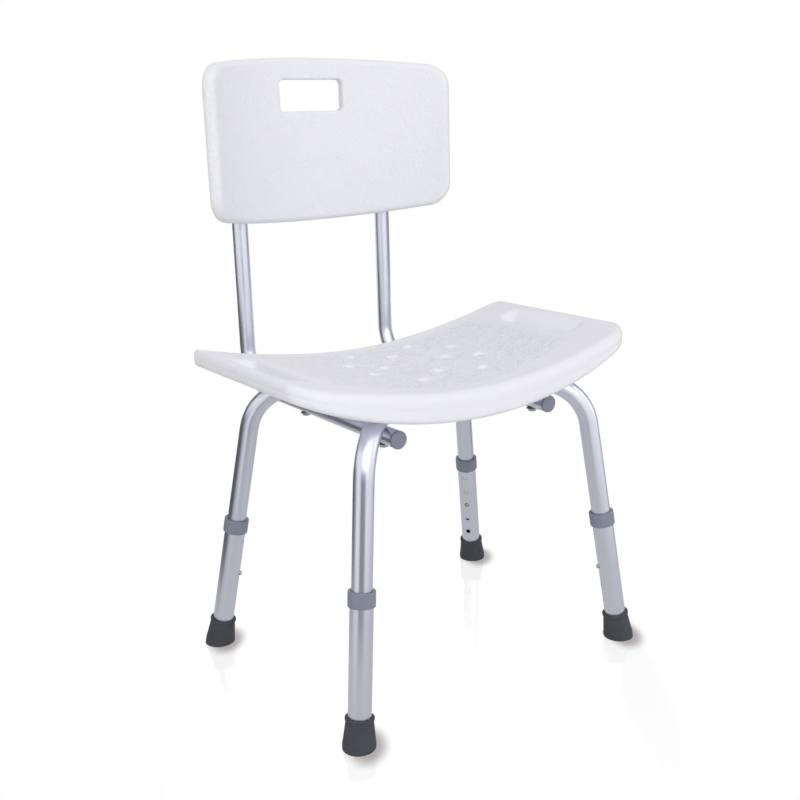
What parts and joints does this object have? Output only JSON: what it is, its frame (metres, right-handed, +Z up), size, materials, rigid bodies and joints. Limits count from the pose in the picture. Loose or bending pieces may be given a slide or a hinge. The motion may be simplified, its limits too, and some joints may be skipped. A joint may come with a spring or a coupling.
{
  "type": "shower stool",
  "caption": "Height-adjustable shower stool with a saddle seat, a curved back panel and splayed tube legs with rubber feet.",
  "frame": {"origin": "on the floor under the middle of the bounding box", "axes": "+Z up, -Y to the front where the sitting person's knees are, +X to the viewer's right when looking at the front"},
  "size_m": [0.524, 0.4528, 0.8052],
  "materials": {
    "white_plastic": "moulded white plastic, fine grain, satin",
    "anodised_tube": "satin anodised",
    "grey_plastic": "moulded grey plastic, satin",
    "slate_rubber": "moulded grey rubber, matt",
    "fastener_steel": "stainless, plain",
    "insert_brass": "turned brass"
  },
  "bodies": {
    "frame": {"frame_tube_over": "anodised_tube", "frame_tube_under": "anodised_tube", "centre_rivet": "fastener_steel", "snap_clip_front_left": "fastener_steel", "snap_clip_front_right": "fastener_steel", "snap_clip_rear_left": "fastener_steel", "snap_clip_rear_right": "fastener_steel", "back_tube_left": "anodised_tube", "front_plug_left": "grey_plastic", "top_plug_left": "grey_plastic", "back_tube_right": "anodised_tube", "front_plug_right": "grey_plastic", "top_plug_right": "grey_plastic", "seat": "white_plastic", "back_panel": "white_plastic", "frame_bolt_front_left": "fastener_steel", "frame_washer_front_left": "fastener_steel", "seat_insert_front_left": "insert_brass", "frame_bolt_front_right": "fastener_steel", "frame_washer_front_right": "fastener_steel", "seat_insert_front_right": "insert_brass", "frame_bolt_rear_left": "fastener_steel", "frame_washer_rear_left": "fastener_steel", "seat_insert_rear_left": "insert_brass", "frame_bolt_rear_right": "fastener_steel", "frame_washer_rear_right": "fastener_steel", "seat_insert_rear_right": "insert_brass", "panel_screw_low_left": "fastener_steel", "panel_insert_low_left": "insert_brass", "panel_screw_high_left": "fastener_steel", "panel_insert_high_left": "insert_brass", "panel_screw_low_right": "fastener_steel", "panel_insert_low_right": "insert_brass", "panel_screw_high_right": "fastener_steel", "panel_insert_high_right": "insert_brass"},
    "leg_front_left": {"leg_tube_front_left": "anodised_tube", "collar_front_left": "grey_plastic", "foot_front_left": "slate_rubber", "foot_washer_front_left": "fastener_steel"},
    "button_front_left": {"snap_button_front_left": "fastener_steel"},
    "leg_front_right": {"leg_tube_front_right": "anodised_tube", "collar_front_right": "grey_plastic", "foot_front_right": "slate_rubber", "foot_washer_front_right": "fastener_steel"},
    "button_front_right": {"snap_button_front_right": "fastener_steel"},
    "leg_rear_left": {"leg_tube_rear_left": "anodised_tube", "collar_rear_left": "grey_plastic", "foot_rear_left": "slate_rubber", "foot_washer_rear_left": "fastener_steel"},
    "button_rear_left": {"snap_button_rear_left": "fastener_steel"},
    "leg_rear_right": {"leg_tube_rear_right": "anodised_tube", "collar_rear_right": "grey_plastic", "foot_rear_right": "slate_rubber", "foot_washer_rear_right": "fastener_steel"},
    "button_rear_right": {"snap_button_rear_right": "fastener_steel"}
  },
  "joints": [
    {"name": "leg_height_front_left", "type": "slide", "parent": "frame", "child": "leg_front_left", "axis": [0.1226, 0.0918, 0.9882], "range_m": [-0.0508, 0.0508], "deforming": ["snap_clip_front_left", "snap_button_front_left"]},
    {"name": "leg_height_front_right", "type": "slide", "parent": "frame", "child": "leg_front_right", "axis": [-0.1226, 0.0918, 0.9882], "range_m": [-0.0508, 0.0508], "deforming": ["snap_clip_front_right", "snap_button_front_right"]},
    {"name": "leg_height_rear_left", "type": "slide", "parent": "frame", "child": "leg_rear_left", "axis": [0.1532, -0.1147, 0.9815], "range_m": [-0.0508, 0.0508], "deforming": ["snap_clip_rear_left", "snap_button_rear_left"]},
    {"name": "leg_height_rear_right", "type": "slide", "parent": "frame", "child": "leg_rear_right", "axis": [-0.1532, -0.1147, 0.9815], "range_m": [-0.0508, 0.0508], "deforming": ["snap_clip_rear_right", "snap_button_rear_right"]},
    {"name": "button_press_front_left", "type": "slide", "parent": "frame", "child": "button_front_left", "axis": [-0.7912, -0.5921, 0.1532], "range_m": [0, 0.0055], "stiffness_N_per_m": 1500, "springref_m": -0.002, "deforming": ["snap_clip_front_left"]},
    {"name": "button_press_front_right", "type": "slide", "parent": "frame", "child": "button_front_right", "axis": [0.7912, -0.5921, 0.1532], "range_m": [0, 0.0055], "stiffness_N_per_m": 1500, "springref_m": -0.002, "deforming": ["snap_clip_front_right"]},
    {"name": "button_press_rear_left", "type": "slide", "parent": "frame", "child": "button_rear_left", "axis": [-0.7858, 0.5881, 0.1914], "range_m": [0, 0.0055], "stiffness_N_per_m": 1500, "springref_m": -0.002, "deforming": ["snap_clip_rear_left"]},
    {"name": "button_press_rear_right", "type": "slide", "parent": "frame", "child": "button_rear_right", "axis": [0.7858, 0.5881, 0.1914], "range_m": [0, 0.0055], "stiffness_N_per_m": 1500, "springref_m": -0.002, "deforming": ["snap_clip_rear_right"]}
  ]
}
